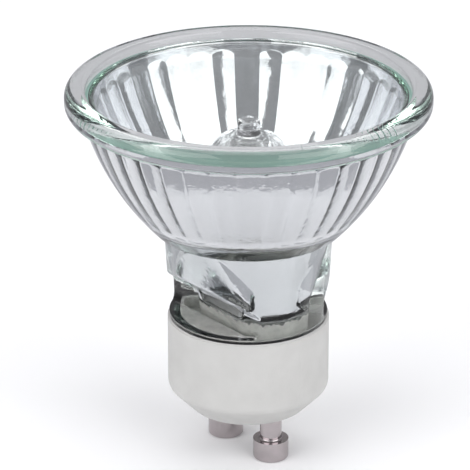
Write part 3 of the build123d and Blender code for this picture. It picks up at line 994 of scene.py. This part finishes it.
def grey_card(name, inner, outer, start, end, tone):
    """A flat card just over the floor that glows a fixed grey tone, seen only in reflections and through
    glass: a painted reflection, lit by no lamp and casting no shadow.

    It is a ring from one azimuth to another, in degrees from the camera's own.
    """
    lift, steps = 0.5 * MM, 48
    angle = np.radians(CAMERA_AZIMUTH - 90 + np.linspace(start, end, steps + 1))
    radius = np.array([inner, outer])[:, None]
    heights = lift + 0 * radius * angle
    faces = [(k, k + 1, k + steps + 2, k + steps + 1) for k in range(steps)]
    mesh = bpy.data.meshes.new(name)
    mesh.from_pydata(ring_points(radius, angle, heights).tolist(), [], faces)
    # Black and with no specular reflection: the card shows only its own fixed glow, a painted reflection.
    paper, shader = new_finish("card_reflection_glow", (0, 0, 0), 1.0, Specular_IOR_Level=0.0)
    shader.inputs["Emission Color"].default_value = (*tone, 1.0)
    shader.inputs["Emission Strength"].default_value = 1.0
    mesh.materials.append(paper)
    card = bpy.data.objects.new(name, mesh)
    # Hidden from the camera, diffuse light and shadows, so its glow appears only as painted reflections in
    # the glass and silvering.
    card.visible_camera = card.visible_diffuse = card.visible_shadow = False
    bpy.context.scene.collection.objects.link(card)


def studio_floor(tint):
    """A flat square of plain paper."""
    half = 2.5
    corners = [(-half, -half, 0), (half, -half, 0), (half, half, 0), (-half, half, 0)]
    mesh = bpy.data.meshes.new("floor")
    mesh.from_pydata(corners, [], [(0, 1, 2, 3)])
    paper, shader = new_finish("floor_paper", tint, 0.8)
    mesh.materials.append(paper)
    floor = bpy.data.objects.new("floor", mesh)
    bpy.context.scene.collection.objects.link(floor)


def studio_world(tone):
    """The even surroundings."""
    world = bpy.data.worlds.new("studio")
    world.use_nodes = True
    world.node_tree.nodes["Background"].inputs["Color"].default_value = (*tone, 1)
    bpy.context.scene.world = world


def photo_camera():
    """The camera at the photo's viewpoint."""
    camera = bpy.data.cameras.new("camera")
    camera.sensor_width = 36.0
    camera.lens = CAMERA_LENS
    camera.clip_start, camera.clip_end = 0.05, 20.0
    viewer = bpy.data.objects.new("camera", camera)
    azimuth = radians(CAMERA_AZIMUTH)
    viewer.location = (CAMERA_REACH * sin(azimuth), -CAMERA_REACH * cos(azimuth), CAMERA_HEIGHT)
    viewer.rotation_euler = (pi / 2 - CAMERA_PITCH, 0, azimuth + CAMERA_YAW)
    bpy.context.scene.collection.objects.link(viewer)
    bpy.context.scene.camera = viewer


class BULB_OT_stage(bpy.types.Operator):
    """Set the floor, the soft lights and the camera"""

    bl_idname = "bulb.stage"
    bl_label = "Stage"

    def execute(self, context):
        scene = context.scene
        studio_floor(scene.bulb_finishes.floor)
        softbox(
            "left_box", azimuth=-52.5, elevation=27, distance=1.1,
            width=1.15, height=0.9, radiance=2.5, lean=35,
        )
        softbox(
            "right_box", azimuth=50, elevation=27, distance=1.1,
            width=1.1, height=0.9, radiance=2.5, lean=-22,
        )
        softbox("top_box", azimuth=10, elevation=88, distance=1.2, width=0.9, height=0.9, radiance=1.7)
        softbox("back_box", azimuth=180, elevation=55, distance=1.5, width=1.4, height=0.6, radiance=1.8)
        # Glowing grey cards on the floor: painted reflections, seen only in the glass and the silvering.
        grey_card("front_card", inner=43 * MM, outer=0.5, start=-80, end=80, tone=(0.60, 0.60, 0.63))
        grey_card("back_card", inner=30 * MM, outer=1.6, start=130, end=230, tone=(0.58, 0.58, 0.61))
        grey_card("left_card", inner=80 * MM, outer=0.8, start=230, end=280, tone=(0.72, 0.72, 0.75))
        grey_card("right_card", inner=80 * MM, outer=0.8, start=80, end=130, tone=(0.72, 0.72, 0.75))
        studio_world((0.37, 0.37, 0.385))
        photo_camera()
        scene.view_settings.view_transform = "Standard"
        scene.cycles.max_bounces = 32
        scene.cycles.transmission_bounces = 24
        scene.cycles.glossy_bounces = 12
        return {"FINISHED"}


operators = (
    BULB_OT_reflector, BULB_OT_cover, BULB_OT_capsule, BULB_OT_capsule_cement, BULB_OT_filament,
    BULB_OT_base, BULB_OT_pins, BULB_OT_wiring, BULB_OT_stage,
)


class BULB_PT_panel(bpy.types.Panel):
    """Lists the bulb's pieces in the sidebar"""

    bl_idname = "BULB_PT_panel"
    bl_label = "Spotlight bulb"
    bl_space_type = "VIEW_3D"
    bl_region_type = "UI"
    bl_category = "Bulb"

    def draw(self, context):
        for operator in operators:
            self.layout.operator(operator.bl_idname)


classes = (BulbSizes, BulbFinishes, *operators, BULB_PT_panel)


def register():
    for each in classes:
        bpy.utils.register_class(each)
    bpy.types.Scene.bulb_sizes = PointerProperty(type=BulbSizes)
    bpy.types.Scene.bulb_finishes = PointerProperty(type=BulbFinishes)


def unregister():
    del bpy.types.Scene.bulb_finishes
    del bpy.types.Scene.bulb_sizes
    for each in reversed(classes):
        bpy.utils.unregister_class(each)


def main():
    """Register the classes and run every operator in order."""
    register()
    bpy.ops.bulb.reflector()
    bpy.ops.bulb.cover()
    bpy.ops.bulb.capsule()
    bpy.ops.bulb.capsule_cement()
    bpy.ops.bulb.filament()
    bpy.ops.bulb.base()
    bpy.ops.bulb.pins()
    bpy.ops.bulb.wiring()
    bpy.ops.bulb.stage()


if __name__ == "__main__":
    main()
